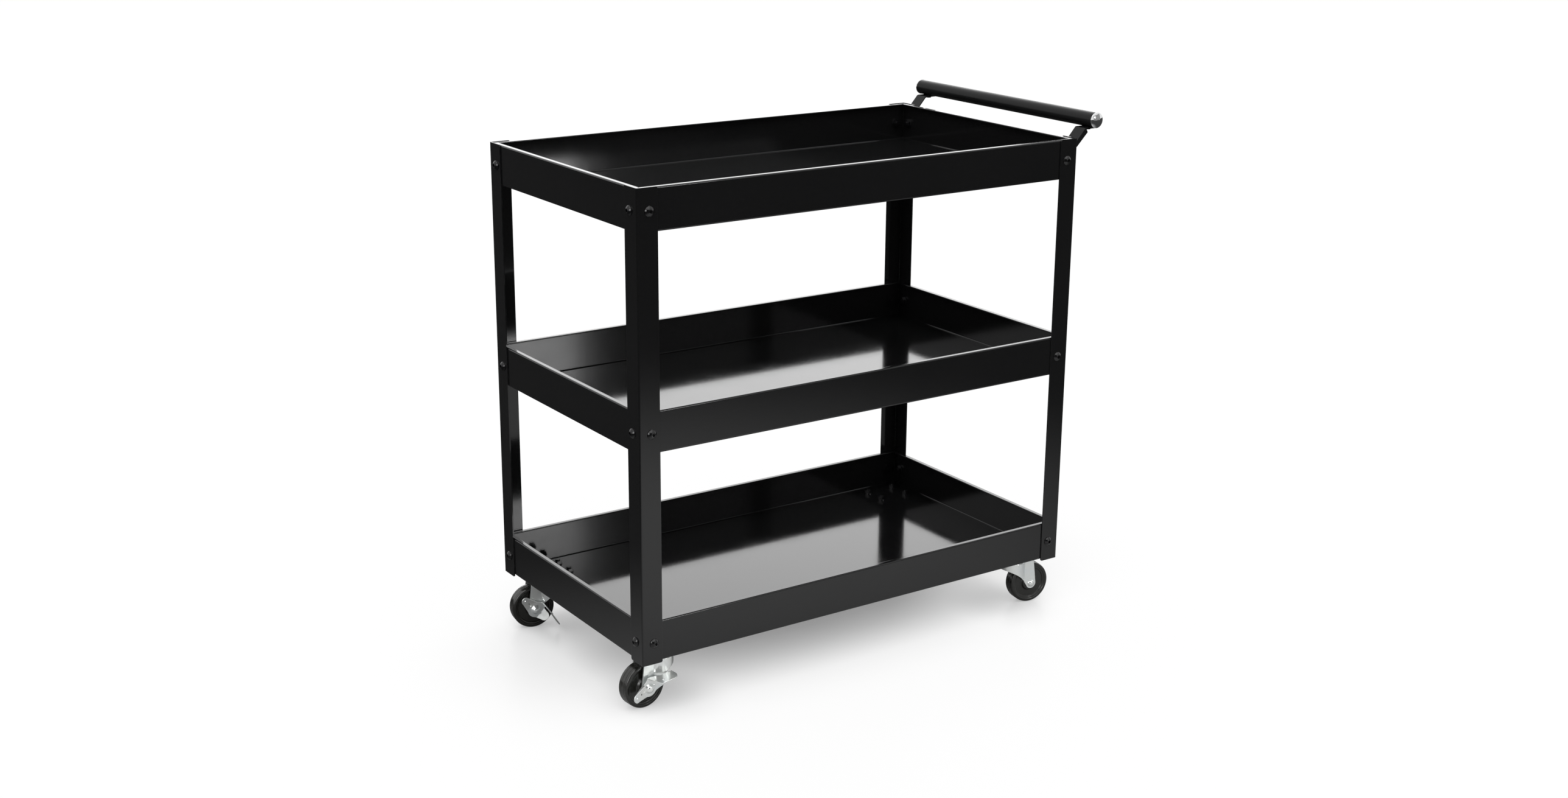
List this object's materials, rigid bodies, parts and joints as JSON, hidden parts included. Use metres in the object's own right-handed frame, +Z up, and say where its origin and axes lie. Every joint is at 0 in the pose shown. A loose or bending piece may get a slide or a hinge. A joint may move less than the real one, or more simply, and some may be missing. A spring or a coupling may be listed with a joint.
{
  "type": "utility cart",
  "caption": "Steel utility cart with stacked deep tray shelves on angle posts, a tube handle across one end and swivel casters, with side brakes at the end away from the handle.",
  "frame": {"origin": "on the floor below the centre of the envelope of the cart at rest", "axes": "+X along the cart to the handle end, +Y across it to the back, +Z up"},
  "size_m": [0.9232, 0.4892, 0.8878],
  "materials": {
    "black_frame": "satin black powder coat",
    "black_fastener": "glossy black coated steel",
    "zinc_steel": "bright zinc plate",
    "chrome_cap": "polished",
    "black_wheel": "glossy black hard rubber"
  },
  "bodies": {
    "cart": {"post_front_left": "black_frame", "post_front_right": "black_frame", "post_back_left": "black_frame", "post_back_right": "black_frame", "bottom_tray": "black_frame", "middle_tray": "black_frame", "top_tray": "black_frame", "bottom_tray_bolts": "black_fastener", "bottom_tray_nuts": "black_fastener", "middle_tray_bolts": "black_fastener", "middle_tray_nuts": "black_fastener", "top_tray_bolts": "black_fastener", "top_tray_nuts": "black_fastener", "caster_bolts": "black_fastener", "caster_nuts": "black_fastener", "handle_tube": "black_frame", "handle_cap_front": "chrome_cap", "handle_cap_back": "chrome_cap", "handle_bracket_front": "black_frame", "handle_bracket_back": "black_frame", "handle_screws": "black_fastener", "caster_plate_front_left": "zinc_steel", "caster_plate_back_left": "zinc_steel", "caster_plate_front_right": "zinc_steel", "caster_plate_back_right": "zinc_steel", "kingpins": "zinc_steel"},
    "swivel_front_left": {"caster_fork_front_left": "zinc_steel", "axle_bolt_front_left": "zinc_steel", "axle_nut_front_left": "zinc_steel"},
    "roller_front_left": {"wheel_front_left": "black_wheel", "wheel_bush_front_left": "zinc_steel"},
    "brake_front_left": {"brake_lever_front_left": "zinc_steel", "brake_cam_front_left": "zinc_steel"},
    "swivel_back_left": {"caster_fork_back_left": "zinc_steel", "axle_bolt_back_left": "zinc_steel", "axle_nut_back_left": "zinc_steel"},
    "roller_back_left": {"wheel_back_left": "black_wheel", "wheel_bush_back_left": "zinc_steel"},
    "brake_back_left": {"brake_lever_back_left": "zinc_steel", "brake_cam_back_left": "zinc_steel"},
    "swivel_front_right": {"caster_fork_front_right": "zinc_steel", "axle_bolt_front_right": "zinc_steel", "axle_nut_front_right": "zinc_steel"},
    "roller_front_right": {"wheel_front_right": "black_wheel", "wheel_bush_front_right": "zinc_steel"},
    "swivel_back_right": {"caster_fork_back_right": "zinc_steel", "axle_bolt_back_right": "zinc_steel", "axle_nut_back_right": "zinc_steel"},
    "roller_back_right": {"wheel_back_right": "black_wheel", "wheel_bush_back_right": "zinc_steel"}
  },
  "joints": [
    {"name": "swivel_front_left_turn", "type": "hinge", "parent": "cart", "child": "swivel_front_left", "pos_m": [-0.39112, -0.187, 0.083], "axis": [0, 0, 1], "continuous": true},
    {"name": "wheel_front_left_spin", "type": "hinge", "parent": "swivel_front_left", "child": "roller_front_left", "pos_m": [-0.4235, -0.18983, 0.0375], "axis": [0.0872, -0.9962, 0], "continuous": true},
    {"name": "brake_front_left_tip", "type": "hinge", "parent": "swivel_front_left", "child": "brake_front_left", "pos_m": [-0.4235, -0.18983, 0.0375], "axis": [-0.0872, 0.9962, 0], "range_deg": [0, 64]},
    {"name": "swivel_back_left_turn", "type": "hinge", "parent": "cart", "child": "swivel_back_left", "pos_m": [-0.39112, 0.187, 0.083], "axis": [0, 0, 1], "continuous": true},
    {"name": "wheel_back_left_spin", "type": "hinge", "parent": "swivel_back_left", "child": "roller_back_left", "pos_m": [-0.42322, 0.19208, 0.0375], "axis": [-0.1564, -0.9877, 0], "continuous": true},
    {"name": "brake_back_left_tip", "type": "hinge", "parent": "swivel_back_left", "child": "brake_back_left", "pos_m": [-0.42322, 0.19208, 0.0375], "axis": [0.1564, 0.9877, 0], "range_deg": [-64, 0]},
    {"name": "swivel_front_right_turn", "type": "hinge", "parent": "cart", "child": "swivel_front_right", "pos_m": [0.34888, -0.187, 0.083], "axis": [0, 0, 1], "continuous": true},
    {"name": "wheel_front_right_spin", "type": "hinge", "parent": "swivel_front_right", "child": "roller_front_right", "pos_m": [0.38088, -0.19264, 0.0375], "axis": [0.1736, 0.9848, 0], "continuous": true},
    {"name": "swivel_back_right_turn", "type": "hinge", "parent": "cart", "child": "swivel_back_right", "pos_m": [0.34888, 0.187, 0.083], "axis": [0, 0, 1], "continuous": true},
    {"name": "wheel_back_right_spin", "type": "hinge", "parent": "swivel_back_right", "child": "roller_back_right", "pos_m": [0.38067, 0.19376, 0.0375], "axis": [-0.2079, 0.9781, 0], "continuous": true}
  ]
}
